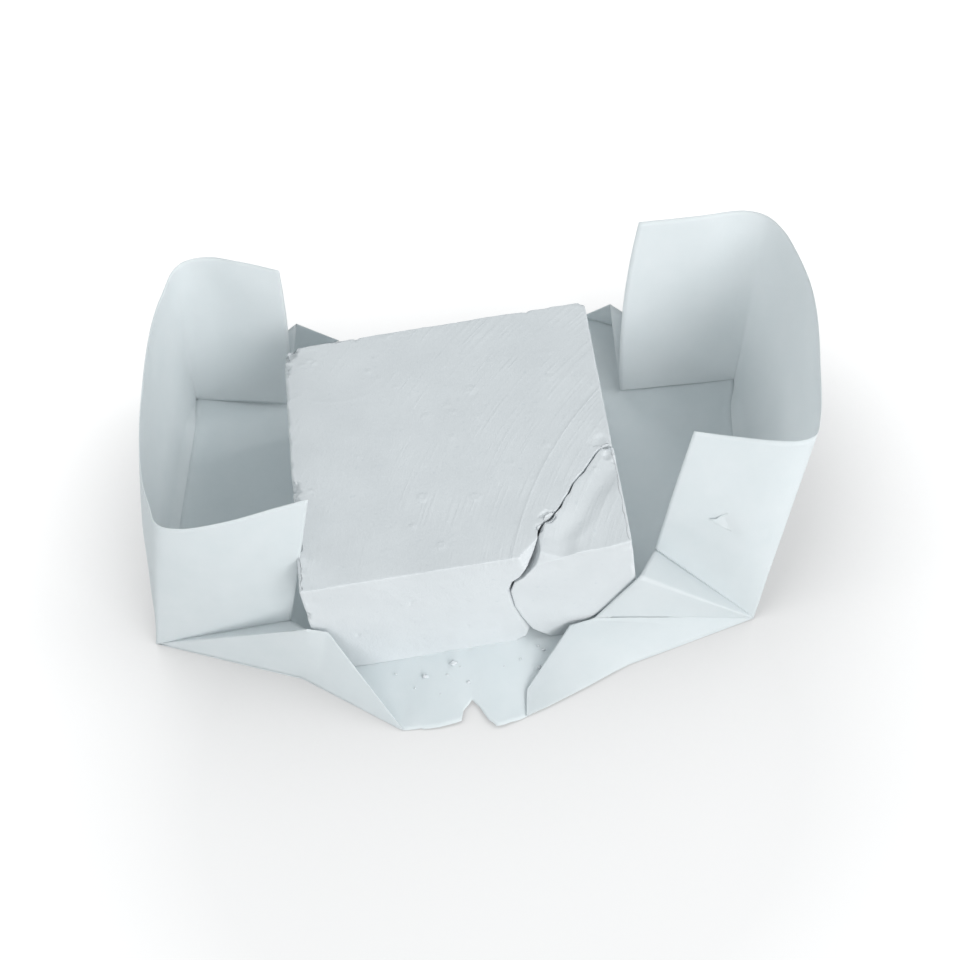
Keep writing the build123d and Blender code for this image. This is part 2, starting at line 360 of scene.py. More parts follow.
def paper_sheet(name, ribs, rows, smooth_top, wave, seed, sides, fold=None, scar=None):
    """A sheet ruled between two edges.

    A point at share v up a rib is foot (1 - v) + top v + belly 4 v (1 - v), and low waves of noise
    stand it off along its normal, fading to nothing at the foot, where the sheet joins its neighbour.
    Along a soft fold the foot follows the upper half of a quarter round.
    """
    counts = [rib[3] for rib in ribs[:-1]]
    feet = straight_through([rib[0] for rib in ribs], counts)
    tops = (curve_through if smooth_top else straight_through)([rib[1] for rib in ribs], counts)
    belly = straight_through([rib[2] for rib in ribs], counts)
    v = np.linspace(0.0, 1.0, rows)[:, None] ** (ROWS_CROWD if fold else 1.0)
    v = np.broadcast_to(v, (rows, len(feet)))
    if fold:
        radius = bend_radius(feet, fold)
        begin = radius * HALF_TURN / np.maximum(tops[:, 2], 1.0)
        v = begin + (1.0 - begin) * v
    v = v[..., None]
    grid = feet * (1 - v) + tops * v + belly * 4 * v * (1 - v)
    fade = ease(0.0, 0.25, v)
    grid = grid + grid_normals(grid) * (wave * fade[..., 0] * rough(grid, 17.0, seed, 2))[..., None]
    if fold:
        low = HALF_TURN * radius
        slip = (feet - grid[0]) * [1, 1, 0]
        near = (1.0 - ease(low, 3.0 * SOFT_BEND, grid[..., 2])) * (radius > 0)
        grid += slip * near[..., None]
        grid[..., 0] -= math.copysign(1.0, fold[0][0]) * bend_offset(radius, grid[..., 2])
    points, faces = grid.reshape(-1, 3), grid_faces(rows, grid.shape[1])
    along = np.concatenate([[0], np.cumsum(np.linalg.norm(np.diff(tops, axis=0), axis=1))]) * MM
    up = v[..., 0] * np.linalg.norm(tops - feet, axis=1) * MM
    across = np.broadcast_to(along, up.shape)
    if scar:
        flap, quads = scar(grid)
        faces = np.vstack([faces, quads + len(points)])
        points = np.vstack([points, flap])
        across, up = [np.concatenate([each.ravel(), np.zeros(len(flap))]) for each in (across, up)]
    piece = make_mesh(name, points, faces)
    add_uv(piece, across, up)
    tidy_mesh(piece, recalc=False)
    return finish_paper(piece, *sides)


def torn_flap(grid):
    """A small three-cornered tear in the right front wall: a lip that stands off the wall at its point."""
    rows, columns = 9, 15
    upper = along_path(TEAR_UPPER_EDGE, columns)
    lower = along_path(TEAR_LOWER_EDGE, columns)
    v = np.linspace(0.0, 1.0, rows)[:, None, None]
    flap = upper * (1 - v) + lower * v
    walls, normals = grid.reshape(-1, 3), grid_normals(grid).reshape(-1, 3)
    sunk = ease(TEAR_SINK_FROM, TEAR_SINK_TO, np.linspace(0.0, 1.0, columns))
    lift = TEAR_LIFT * (1.0 - TEAR_SINK * sunk)
    ragged = 0.25 * rough(flap, 1.3, 83, 2)
    for i in range(rows):
        for j in range(columns):
            near = np.argmin(np.linalg.norm(walls - flap[i, j], axis=1))
            normal = normals[near] if normals[near][1] < 0 else -normals[near]
            flap[i, j] += normal * ((walls[near] - flap[i, j]) @ normal + lift[j])
            flap[i, j, 2] += ragged[i, j]
    return flap.reshape(-1, 3), grid_faces(rows, columns)[:, ::-1]


def finish_paper(piece, material, back):
    """Gives the sheet its thickness, the material of the side its normals leave, and that of its back."""
    shell = piece.modifiers.new("thickness", "SOLIDIFY")
    shell.thickness = PAPER_THICKNESS * MM
    shell.offset = -1.0
    shell.use_even_offset = False
    shell.material_offset = 1
    shell.material_offset_rim = 0
    piece.data.materials.append(material)
    piece.data.materials.append(back)
    return piece


def floor_sheet(material):
    """The paper on the ground: ruled between its front and back edges, with low swells.

    Beside each side fold it turns up along the lower half of the same quarter round as the wall.
    """
    counts = [n for _, n in FRONT_EDGE[:-1]]
    front = straight_through([p for p, _ in FRONT_EDGE], counts)
    back = straight_through([p for p, _ in BACK_EDGE], counts)
    rows = 110
    v = np.linspace(0.0, 1.0, rows)[:, None, None]
    grid = front * (1 - v) + back * v
    torn = np.zeros(grid.shape[1])
    torn[TORN_COLUMNS] = TORN_DEPTH
    ragged = torn * rough(front * [1, 1, 0], 1.6, 71, 2)
    grid[..., 1] += ragged * (1 - ease(0.0, 0.03, v[..., 0]))
    lift = 0.10 * rough(grid * [1, 1, 0], 21.0, 61, 2) - 0.12
    flat = ease(0.0, 5.0, np.abs(grid[..., 0]) - HALF) + ease(0.0, 5.0, np.abs(grid[..., 1]) - HALF)
    share = np.linspace(0.0, 1.0, grid.shape[1])
    inside = ease(0.0, 0.08, share) * ease(0.0, 0.08, 1.0 - share)
    grid[..., 2] += (lift * np.clip(flat, 0.0, 1.0) - 0.02) * inside
    for fold, side in ((LEFT_FOLD, -1.0), (RIGHT_FOLD, 1.0)):
        edge = grid[:, 0 if side < 0 else -1].copy()
        radius = bend_radius(edge * [1, 1, 0], fold)[:, None]
        inside = side * (edge[:, None, 0] - grid[..., 0])
        inside = inside + HALF_TURN * np.maximum(radius - inside, 0.0)
        near = inside < radius
        grid[..., 0] = np.where(near, edge[:, None, 0] - side * inside, grid[..., 0])
        grid[..., 2] += np.where(near, bend_offset(radius, inside), 0.0)
    piece = make_mesh("wrapper_floor_sheet", grid, grid_faces(rows, grid.shape[1]))
    add_uv(piece, grid[..., 0] * MM, grid[..., 1] * MM)
    tidy_mesh(piece, recalc=False)
    return finish_paper(piece, material, material)


# ------------------------------------------------------------------ chalk

# The break across the front right corner, from the front face to the right face: x, y.
BREAK_LINE = [
    (14.6, -33.0), (15.2, -30.1), (15.2, -27.9), (17.0, -24.6), (18.9, -23.1), (20.4, -21.7), (22.3, -18.7),
    (23.9, -16.0), (26.4, -13.6), (28.1, -11.1), (30.1, -8.7), (33.0, -7.9),
]
# How far the break's front end lies left of its top, at each height above the paper: on the block,
# and on the chunk, whose foot is broken away at the front.
BLOCK_UNDERCUT = [
    (0.0, -6.0), (1.2, -5.1), (3.8, -4.4), (8.4, -5.6), (12.2, -6.6), (17.4, -7.0), (20.0, -6.0),
    (21.3, -4.2), (23.0, -3.1), (25.9, -1.3), (28.0, 0.0),
]
CHUNK_UNDERCUT = [
    (0.0, -0.4), (3.9, -3.9), (8.4, -5.6), (12.2, -6.6), (17.4, -7.0), (20.0, -6.0), (21.3, -4.2),
    (23.0, -3.1), (25.9, -1.3), (28.0, 0.0),
]
# Facets broken off at the break's front end: three places on each, anticlockwise from outside.
BLOCK_FACET = ((10.7, -33.0, 28.0), (11.6, -33.0, 23.2), (15.0, -28.9, 28.0))
CHUNK_FACET = ((15.0, -31.2, 28.0), (13.9, -33.0, 26.4), (16.0, -33.0, 27.0))
# The chunk's front face is broken inwards low down at its right: the same kind of plane.
CHUNK_FOOT = ((33.2, -33.0, 12.5), (22.0, -33.0, 4.0), (33.0, -29.5, 5.0))

# How round the wear has left the edges of each face, and the upright corners, and about how far
# apart the places of a plan lie.
LEFT_WEAR, RIGHT_WEAR, FRONT_WEAR, BACK_WEAR, BREAK_WEAR = 0.85, 0.50, 0.28, 0.40, 0.12
CORNER_WEAR = 0.8
PLAN_STEP = 0.36

# The mould's scraper turned about this place, so its scratches stand on the top as curved ridges.
STROKE_CENTRE = (95.0, -55.0)
LONG_RIDGE = 88.3

# The slump of the chunk's top is taken up above this height.
SLUMP_FROM = 19.0

# Low round blisters on the top, with sunk middles: x, y, radius, height.
BLISTERS = [
    (6.0, 12.9, 1.15, 0.16), (-6.6, -14.1, 1.15, 0.17), (4.0, -16.1, 1.05, 0.15), (-4.1, -26.9, 0.95, 0.15),
    (1.8, 7.5, 0.65, 0.14), (-3.8, 7.6, 0.75, 0.10), (6.4, 5.3, 0.70, 0.10), (0.7, 0.6, 0.65, 0.12),
    (0.8, 9.5, 0.55, 0.14), (-15.0, 22.7, 0.70, 0.14), (-13.3, 20.3, 0.45, 0.10), (-13.3, 26.1, 0.55, 0.10),
    (-18.8, -0.7, 0.45, 0.12), (22.7, 12.9, 0.50, 0.14), (-9.6, 16.9, 0.50, 0.09), (19.9, -5.3, 0.80, 0.12),
    (28.7, -13.5, 0.70, 0.14), (5.3, 23.0, 0.40, 0.08), (27.2, -0.5, 0.45, 0.10), (16.1, -13.8, 0.40, 0.10),
    (-9.4, -20.9, 0.50, 0.14),
]
# Scuffs, where grains of chalk stand up: x, y, radius, height.
SCUFFS = [
    (11.9, 22.3, 1.7, 0.16), (23.7, 19.3, 2.0, 0.12), (12.5, -9.9, 1.8, 0.16), (9.8, -13.0, 1.5, 0.12),
    (-9.6, -21.4, 1.2, 0.16), (-14.0, -17.3, 1.6, 0.10), (5.3, -29.6, 2.2, 0.12), (-14.2, 17.9, 1.4, 0.10),
    (-10.3, 31.9, 1.3, 0.26), (-6.6, 32.3, 1.2, 0.22), (-0.9, 32.6, 1.5, 0.18), (-28.0, 29.0, 3.4, 0.30),
    (-30.5, -8.0, 2.4, 0.30), (-31.5, 20.0, 2.0, 0.18), (-31.8, 8.0, 2.2, 0.18), (-31.5, -27.0, 3.0, 0.22),
    (31.4, 31.0, 1.6, 0.22), (17.2, -24.6, 1.4, 0.22), (31.0, -4.0, 2.2, 0.24),
]
# Hollows and chips in the sides and edges: x, y, height, radius, depth.
CHIPS = [
    (-33.2, 32.6, 28.4, 3.0, 1.3), (-33.4, 27.2, 28.4, 1.8, 0.6), (-33.3, -6.6, 28.5, 1.9, 1.0),
    (-33.2, -9.4, 28.2, 1.5, 0.8), (-33.2, -32.9, 20.0, 1.4, 0.7), (-33.0, -33.0, 8.5, 1.5, 0.7),
    (-33.1, -33.0, 14.0, 1.0, 0.4), (17.6, -23.7, 28.6, 1.5, 0.7), (15.4, -26.0, 28.5, 1.0, 0.5),
    (33.2, 32.9, 28.3, 1.5, 0.8), (20.5, 33.3, 28.4, 1.1, 0.4), (-17.0, 33.3, 28.4, 1.0, 0.4),
    (8.9, -33.2, 0.4, 1.2, 0.8), (33.4, 14.0, 28.4, 1.0, 0.4), (26.0, 33.3, 5.0, 1.4, 0.5),
    (-12.0, -33.0, 19.0, 0.5, 0.20), (-24.0, -33.0, 11.0, 0.4, 0.18), (-2.0, -33.0, 8.0, 0.45, 0.18),
    (31.0, -6.2, 28.4, 1.5, 0.6), (32.6, -8.6, 28.5, 1.8, 0.8), (31.4, -10.3, 28.4, 1.3, 0.6),
    (33.3, -11.2, 28.4, 1.1, 0.7), (29.6, -7.4, 28.3, 0.8, 0.3),
    (33.0, 12.0, 16.0, 0.6, 0.25), (33.0, 22.0, 9.0, 0.45, 0.20), (-33.0, 4.0, 14.0, 0.6, 0.25),
    (-33.0, -18.0, 20.0, 0.45, 0.20), (10.0, 33.0, 17.0, 0.6, 0.25), (-14.0, 33.0, 9.0, 0.5, 0.20),
]


def break_points(height, undercut):
    """The break at one height: its top line leaned left by the undercut, which fades to the right."""
    line = np.asarray(BREAK_LINE)
    share = np.linspace(1.0, 0.0, len(line))
    shift = np.interp(height, *np.transpose(undercut))
    line = line + np.stack([shift * share ** 1.2, 0 * share], axis=-1)
    places = np.column_stack([line, np.full(len(line), height)])
    path = curve_through(places, [7] * (len(line) - 1))
    jag = 0.20 * rough(path * [1, 1, 0.7], 2.2, 5, 3) * np.sin(np.linspace(0, np.pi, len(path)))
    return path[:, :2] + np.stack([-jag, jag], axis=-1)


def block_plan(height, counts):
    """The block's outline at a height, anticlockwise: break and right face, back, left, front."""
    gap = break_points(height, BLOCK_UNDERCUT)
    right_back, left_back, left_front = (HALF, HALF), (-HALF, HALF), (-HALF, -HALF)
    sides = [np.vstack([gap, right_back]), [right_back, left_back], [left_back, left_front],
             [left_front, gap[0]]]
    return np.vstack([along_path(side, n + 1)[:-1] for side, n in zip(sides, counts)])


def chunk_plan(height, counts):
    """The chunk's outline at a height, anticlockwise: half the break, front, right face, the other half."""
    gap = break_points(height, CHUNK_UNDERCUT)[::-1]
    middle, corner = len(gap) // 2, (HALF, -HALF)
    sides = [gap[middle:], [gap[-1], corner], [corner, gap[0]], gap[:middle + 1]]
    return np.vstack([along_path(side, n + 1)[:-1] for side, n in zip(sides, counts)])


def soften(values, window):
    """A closed row of values averaged over a few neighbours, which rounds its corners."""
    total = np.zeros_like(values)
    for k in range(-window, window + 1):
        total = total + np.roll(values, k, axis=0) * (window + 1 - abs(k))
    return total / (window + 1) ** 2


def edge_wear(ring):
    """How round the edge is at each place of a plan: the nearest face's own value, a little uneven."""
    x, y = ring.T
    near = 0.6
    faces = [(x + HALF, LEFT_WEAR), (HALF - x, RIGHT_WEAR), (y + HALF, FRONT_WEAR), (HALF - y, BACK_WEAR)]
    radius = np.full(len(ring), BREAK_WEAR)
    for away, wear in faces:
        radius = np.where(away < near, np.maximum(wear, radius), radius)
    uneven = rough(np.column_stack([ring, 0 * x]), 2.4, 17, 3)
    return soften(radius, 4) * np.clip(1.0 + 0.55 * uneven, 0.35, 2.0)


def inwards(outline):
    """Unit vectors square to a closed outline that runs anticlockwise, pointing into it."""
    along = np.roll(outline, -1, axis=0) - np.roll(outline, 1, axis=0)
    inward = np.stack([-along[:, 1], along[:, 0]], axis=-1)
    return inward / np.maximum(np.linalg.norm(inward, axis=1, keepdims=True), 1e-9)


def filled(ring, counts):
    """A sheet of points inside a closed outline of four sides.

    At shares s and t it is (1 - t) side_0(s) + t side_2(s) + (1 - s) side_3(t) + s side_1(t), less the
    same mix of the four corners, so its rim is the outline itself.
    """
    ends = np.cumsum([0] + list(counts))
    closed = np.vstack([ring, ring[:1]])
    first, second, third, fourth = [closed[a:b + 1] for a, b in zip(ends[:-1], ends[1:])]
    third, fourth = third[::-1], fourth[::-1]
    s = np.linspace(0.0, 1.0, len(first))[:, None, None]
    t = np.linspace(0.0, 1.0, len(second))[None, :, None]
    sides = (1 - t) * first[:, None] + t * third[:, None] + (1 - s) * fourth[None] + s * second[None]
    corners = (1 - s) * ((1 - t) * first[0] + t * third[0]) + s * ((1 - t) * first[-1] + t * third[-1])
    return sides - corners


def dents(points, places, sharp):
    """Hollows, each depth * (1 - (distance / radius)^2) ^ sharp inside a radius made ragged by noise."""
    total = np.zeros(points.shape[:-1])
    ragged = 1.0 + 0.45 * rough(points, 1.1, 47, 2)
    for x, y, z, radius, depth in places:
        near = 1.0 - (np.linalg.norm(points - [x, y, z], axis=-1) * ragged / radius) ** 2
        total = np.maximum(total, depth * np.clip(near, 0.0, 1.0) ** sharp)
    return total


def cut_flat(points, facet):
    """Everything beyond the plane of three places is pressed back onto it, which leaves a broken facet."""
    a, b, c = np.asarray(facet)
    normal = np.cross(b - a, c - a)
    normal = normal / np.linalg.norm(normal)
    beyond = np.clip((points - a) @ normal, 0.0, None)
    return points - beyond[..., None] * normal


def from_break(points):
    """How far each point lies from the top line of the break, in plan."""
    line = along_path(BREAK_LINE, 61)
    return np.min([np.hypot(points[..., 0] - x, points[..., 1] - y) for x, y in line], axis=0)


def block_slump(points):
    """The block's own top is level."""
    return 0.0 * points[..., 0]


def chunk_slump(points):
    """How far the chunk's top lies below the block's: a trough beside the break, a fall to the front."""
    x, y, away = points[..., 0], points[..., 1], from_break(points)
    trough = 0.30 + 0.80 * ease(0.0, 4.5, away) - 0.75 * ease(4.5, 8.0, away)
    fall = 0.7 * (1.0 - ease(0.0, 11.0, y + HALF)) * (1.0 - ease(27.0, HALF, x))
    tip = 0.7 * np.exp(-np.hypot(x - BREAK_LINE[0][0], y + HALF) / 3.0)
    return trough * (1.0 - ease(29.0, HALF, x) * ease(-14.0, -9.0, y)) + fall + tip


def top_relief(points):
    """The marks that stand on the top: blisters, scuffs, the long ridge and one thin scratch."""
    x, y = points[..., 0], points[..., 1]
    total = 0.05 * rough(points * [1, 1, 0], 11.0, 11, 2)
    for px, py, radius, height in BLISTERS:
        away = np.hypot(x - px, y - py) / radius
        total = total + height * (1.0 - ease(0.70, 1.20, away)) - 0.6 * height * (1.0 - ease(0.0, 0.75, away))
    grains = np.clip(rough(points * [1, 1, 0], 1.1, 41, 2), 0.0, 1.0)
    for px, py, radius, height in SCUFFS:
        total = total + height * grains * np.exp(-((x - px) ** 2 + (y - py) ** 2) / radius ** 2)
    reach = np.hypot(x - STROKE_CENTRE[0], y - STROKE_CENTRE[1])
    total = total + 0.07 * np.exp(-((reach - LONG_RIDGE) / 0.42) ** 2)
    scratch = 15.4 + 0.03 * (x + 20.5) ** 2
    along = ease(-29.0, -27.0, x) * (1 - ease(-16.0, -13.5, x))
    return total + 0.05 * np.exp(-((y - scratch) / 0.4) ** 2) * along


def side_relief(points):
    """How far a side stands off its true face: slow swells, grain, and crumbling upright corners."""
    x, y, z = points[..., 0], points[..., 1], points[..., 2]
    to_side = np.hypot(np.clip(HALF - np.abs(x), 0, None), np.clip(HALF - np.abs(y), 0, None))
    post = np.exp(-to_side / 1.4)
    swell = 0.10 * rough(points, 13.0, 12, 2) * ease(0.0, 4.0, BLOCK_HEIGHT - z)
    crumble = -0.40 * np.clip(rough(points, 2.2, 31, 3) + 0.10, 0.0, 1.5) * post
    return swell + 0.03 * rough(points, 1.9, 21, 2) + crumble


def chalk_solid(name, plan, counts, middle, facets, slump, out):
    """A moulded chalk solid from stacked plans.

    Each plan is drawn in by wear * (1 - cos a) at a height wear * (1 - sin a) from the top or bottom,
    which rounds the edge. The top is filled level and the bottom shrinks to its middle. Relief, chips
    and the slump of the top then move the points, and `out` moves the whole piece.
    """
    count, wall_rows, bottom_rows = sum(counts), 62, 8
    turns = np.linspace(0.0, math.pi / 2, 6)
    window = max(1, round(CORNER_WEAR / PLAN_STEP))
    worn = edge_wear(soften(plan(BLOCK_HEIGHT, counts), window))
    rows = [(0.0, -1, turn) for turn in turns[::-1]]
    rows += [(share, 0, 0.0) for share in np.linspace(0.0, 1.0, wall_rows)[1:-1]]
    rows += [(1.0, 1, turn) for turn in turns]
    rings, normals = [], []
    for share, cap, turn in rows:
        height = worn + (BLOCK_HEIGHT - 2 * worn) * share + cap * worn * math.sin(turn)
        ring = soften(plan(float(height.mean()), counts), window)
        inward = inwards(ring)
        ring = ring + inward * (worn * (1 - math.cos(turn)))[:, None]
        rings.append(np.column_stack([ring, height]))
        normals.append(np.column_stack([-inward * math.cos(turn), np.full(count, cap * math.sin(turn))]))
    walls, normals = np.array(rings), np.array(normals)
    walls = walls + normals * (side_relief(walls) * (1 - np.abs(normals[..., 2])))[..., None]
    walls[..., 2] += top_relief(walls) * np.clip(normals[..., 2], 0, None)
    top = filled(rings[-1], counts)
    top[..., 2] += top_relief(top)
    centre = np.array([middle[0], middle[1], 0.0])
    bottom = np.array([centre + (rings[0] - centre) * share for share in np.linspace(0.0, 1.0, bottom_rows)])
    points, faces, start = [], [], 0
    for grid, wrap in ((bottom, True), (walls, True), (top, False)):
        outward = normals if grid is walls else [0.0, 0.0, 1.0 if grid is top else -1.0]
        grid = grid - dents(grid, CHIPS, 0.6)[..., None] * outward
        for facet in facets:
            grid = cut_flat(grid, facet)
        grid[..., 2] -= slump(grid) * ease(SLUMP_FROM, BLOCK_HEIGHT, grid[..., 2])
        points.append(grid.reshape(-1, 3))
        faces.append(grid_faces(*grid.shape[:2], wrap=wrap) + start)
        start += len(points[-1])
    points = np.vstack(points)
    points[:, 2] = np.clip(points[:, 2], 0.0, None)
    piece = make_mesh(name, points + out, np.vstack(faces))
    tidy_mesh(piece)
    return piece


def crumb(centre, size, seed):
    """One grain of chalk: a ball whose radius is size * (1 + noise), flattened and set on the paper."""
    rows, columns = 9, 14
    turn, rise = np.meshgrid(np.linspace(0, 2 * np.pi, columns, endpoint=False), np.linspace(0, np.pi, rows))
    ball = np.stack([np.sin(rise) * np.cos(turn), np.sin(rise) * np.sin(turn), np.cos(rise)], axis=-1)
    reach = size * 0.5 * (1.0 + 0.55 * rough(ball + seed * 3.1, 0.9, seed, 2))
    grain = ball * reach[..., None] * [1.0, 0.8, 0.62]
    grain[..., 2] -= grain[..., 2].min()
    return grain + np.array([centre[0], centre[1], 0.02]), grid_faces(rows, columns, wrap=True)


# Chalk crumbs on the front flap and beside the block: x, y, size.
CRUMBS = [
    (-6.2, -36.4, 1.5), (-12.2, -38.2, 1.1), (-3.6, -41.2, 0.8), (11.2, -40.4, 1.0), (-7.6, -38.6, 0.7),
    (-4.9, -37.2, 0.6), (2.4, -43.5, 0.5), (-14.6, -40.6, 0.5), (7.6, -37.6, 0.6), (4.1, -38.8, 0.5),
    (-9.6, -43.0, 0.45), (-18.2, -36.5, 0.6), (12.6, -36.2, 0.8), (11.6, -35.0, 0.6), (0.3, -36.0, 0.5),
]


def chalk_crumbs():
    """All the crumbs as one piece."""
    points, faces, start = [], [], 0
    for seed, (x, y, size) in enumerate(CRUMBS):
        grain, quads = crumb((x, y), size, 101 + seed)
        points.append(grain.reshape(-1, 3))
        faces.append(quads + start)
        start += points[-1].shape[0]
    piece = make_mesh("chalk_crumb_grains", np.vstack(points), np.vstack(faces))
    tidy_mesh(piece)
    return piece


# ------------------------------------------------------------------ materials


class Recipe:
    """A material's nodes, added one call at a time."""

    def __init__(self, name):
        self.material = bpy.data.materials.new(name)
        self.material.use_nodes = True
        self.nodes = self.material.node_tree.nodes
        self.links = self.material.node_tree.links
        self.nodes.clear()

    def add(self, kind, values=None, links=None, **settings):
        """One node of this kind with its settings, plain input values and links from other sockets."""
        node = self.nodes.new(kind)
        for key, value in settings.items():
            setattr(node, key, value)
        for key, value in (values or {}).items():
            node.inputs[key].default_value = value
        for key, socket in (links or {}).items():
            self.links.new(socket, node.inputs[key])
        return node

    def noise(self, place, scale, detail=3.0, roughness=0.55, distortion=0.0):
        """Cloudy values from 0 to 1."""
        values = {"Scale": scale, "Detail": detail, "Roughness": roughness, "Distortion": distortion}
        return self.add("ShaderNodeTexNoise", values, {"Vector": place}).outputs["Fac"]

    def ramp(self, factor, low, high, dark, light):
        """A colour from dark at low to light at high."""
        node = self.add("ShaderNodeValToRGB", links={"Fac": factor})
        stops = node.color_ramp.elements
        stops[0].position, stops[0].color = low, (*dark, 1.0)
        stops[1].position, stops[1].color = high, (*light, 1.0)
        return node.outputs["Color"]

    def math(self, operation, a, b):
        """One sum: a and b are sockets or numbers."""
        node = self.add("ShaderNodeMath", operation=operation)
        for slot, value in enumerate((a, b)):
            if isinstance(value, (int, float)):
                node.inputs[slot].default_value = value
            else:
                self.links.new(value, node.inputs[slot])
        return node.outputs["Value"]

    def mix(self, factor, a, b, blend="MIX"):
        """Two colours mixed by a factor, which may be a number."""
        node = self.add("ShaderNodeMix", data_type="RGBA", blend_type=blend)
        if isinstance(factor, (int, float)):
            node.inputs[0].default_value = factor
        else:
            self.links.new(factor, node.inputs[0])
        self.links.new(a, node.inputs[6])
        self.links.new(b, node.inputs[7])
        return node.outputs[2]

    def bump(self, height, distance, strength, after=None):
        """A bumped normal, on top of the one before."""
        links = {"Height": height}
        if after:
            links["Normal"] = after
        values = {"Distance": distance, "Strength": strength}
        return self.add("ShaderNodeBump", values, links).outputs["Normal"]


def chalk_material():
    """Dry moulded chalk: a pale cloudy body, powdery grain, and fine curved ridges on the top."""
    r = Recipe("dry_chalk")
    place = r.add("ShaderNodeTexCoord").outputs["Object"]
    tone = r.ramp(r.noise(place, 75.0, 5.0), 0.30, 0.70, (0.682, 0.710, 0.728), (0.725, 0.753, 0.770))
    specks = r.ramp(r.noise(place, 700.0, 2.0, 0.5), 0.24, 0.34, (0.90, 0.92, 0.93), (1.0, 1.0, 1.0))
    colour = r.mix(0.6, tone, specks, "MULTIPLY")
    apart = r.add("ShaderNodeSeparateXYZ", links={"Vector": place})
    right = r.math("SUBTRACT", apart.outputs["X"], STROKE_CENTRE[0] * MM)
    back = r.math("SUBTRACT", apart.outputs["Y"], STROKE_CENTRE[1] * MM)
    squares = r.math("ADD", r.math("MULTIPLY", right, right), r.math("MULTIPLY", back, back))
    reach = r.math("SQRT", squares, 0.0)
    turn = r.math("MULTIPLY", r.math("ARCTAN2", back, right), 0.0032)
    arc = r.add("ShaderNodeCombineXYZ", {"Z": 0.0}, {"X": reach, "Y": turn}).outputs["Vector"]
    on_top = r.add("ShaderNodeMapRange", {"From Min": FLOOR_TOP + 0.0255, "From Max": FLOOR_TOP + 0.0272},
                   {"Value": apart.outputs["Z"]}).outputs["Result"]
    black, white = (0.0, 0.0, 0.0), (1.0, 1.0, 1.0)
    combs = r.ramp(r.noise(arc, 1150.0, 1.0, 0.4), 0.50, 0.66, black, white)
    sideways = r.add("ShaderNodeMapRange",
                     {"From Min": -0.012, "From Max": 0.030, "To Min": -0.10, "To Max": 0.14},
                     {"Value": apart.outputs["X"]}).outputs["Result"]
    comb_patches = r.ramp(r.math("ADD", r.noise(place, 70.0, 2.0), sideways), 0.44, 0.56, black, white)
    hatch = r.noise(arc, 2600.0, 2.0, 0.5)
    hatch_patches = r.ramp(r.noise(place, 48.0, 2.0, 0.5, 0.6), 0.40, 0.62, black, white)
    ridge = r.add("ShaderNodeMapRange", {"From Min": 0.0, "From Max": 0.00035, "To Min": 1.0, "To Max": 0.0},
                  {"Value": r.math("ABSOLUTE", r.math("SUBTRACT", reach, LONG_RIDGE * MM), 0.0)})
    comb_marks = r.math("MULTIPLY", r.math("MULTIPLY", combs, comb_patches), on_top)
    hatch_marks = r.math("MULTIPLY", r.math("MULTIPLY", hatch, hatch_patches), on_top)
    normal = r.bump(r.noise(place, 2400.0, 3.0, 0.6), 0.00006, 0.8)
    normal = r.bump(r.noise(place, 620.0, 4.0, 0.65), 0.00012, 0.7, normal)
    normal = r.bump(comb_marks, 0.00005, 0.8, normal)
    normal = r.bump(hatch_marks, 0.00006, 0.7, normal)
    normal = r.bump(r.math("MULTIPLY", ridge.outputs["Result"], on_top), 0.00006, 0.9, normal)
    shader = r.add("ShaderNodeBsdfPrincipled", {"Roughness": 0.93, "Specular IOR Level": 0.18},
                   {"Base Color": colour, "Normal": normal})
    r.add("ShaderNodeOutputMaterial", links={"Surface": shader.outputs["BSDF"]})
    return r.material


def paper_material(name, light_through, dark, pale):
    """Thin wrapping paper: cold white, dark to pale in faint clouds, cockled, a little light through it."""
    r = Recipe(name)
    place = r.add("ShaderNodeTexCoord").outputs["Object"]
    clouds = r.noise(place, 130.0, 5.0, 0.6)
    colour = r.ramp(clouds, 0.30, 0.70, dark, pale)
    fibres = r.noise(place, 2600.0, 3.0, 0.6)
    cockle = r.noise(place, 55.0, 2.0, 0.45, 0.4)
    normal = r.bump(fibres, 0.00004, 0.35)
    normal = r.bump(cockle, 0.0009, 0.25, normal)
    sheen = r.add("ShaderNodeMapRange", {"From Min": 0.3, "From Max": 0.7, "To Min": 0.50, "To Max": 0.62},
                  {"Value": clouds})
    shader = r.add("ShaderNodeBsdfPrincipled", {"Specular IOR Level": 0.30},
                   {"Base Color": colour, "Normal": normal, "Roughness": sheen.outputs["Result"]})
    through = r.add("ShaderNodeBsdfTranslucent", links={"Color": colour, "Normal": normal})
    both = r.add("ShaderNodeMixShader", {0: light_through},
                 {1: shader.outputs["BSDF"], 2: through.outputs["BSDF"]})
    r.add("ShaderNodeOutputMaterial", links={"Surface": both.outputs["Shader"]})
    return r.material


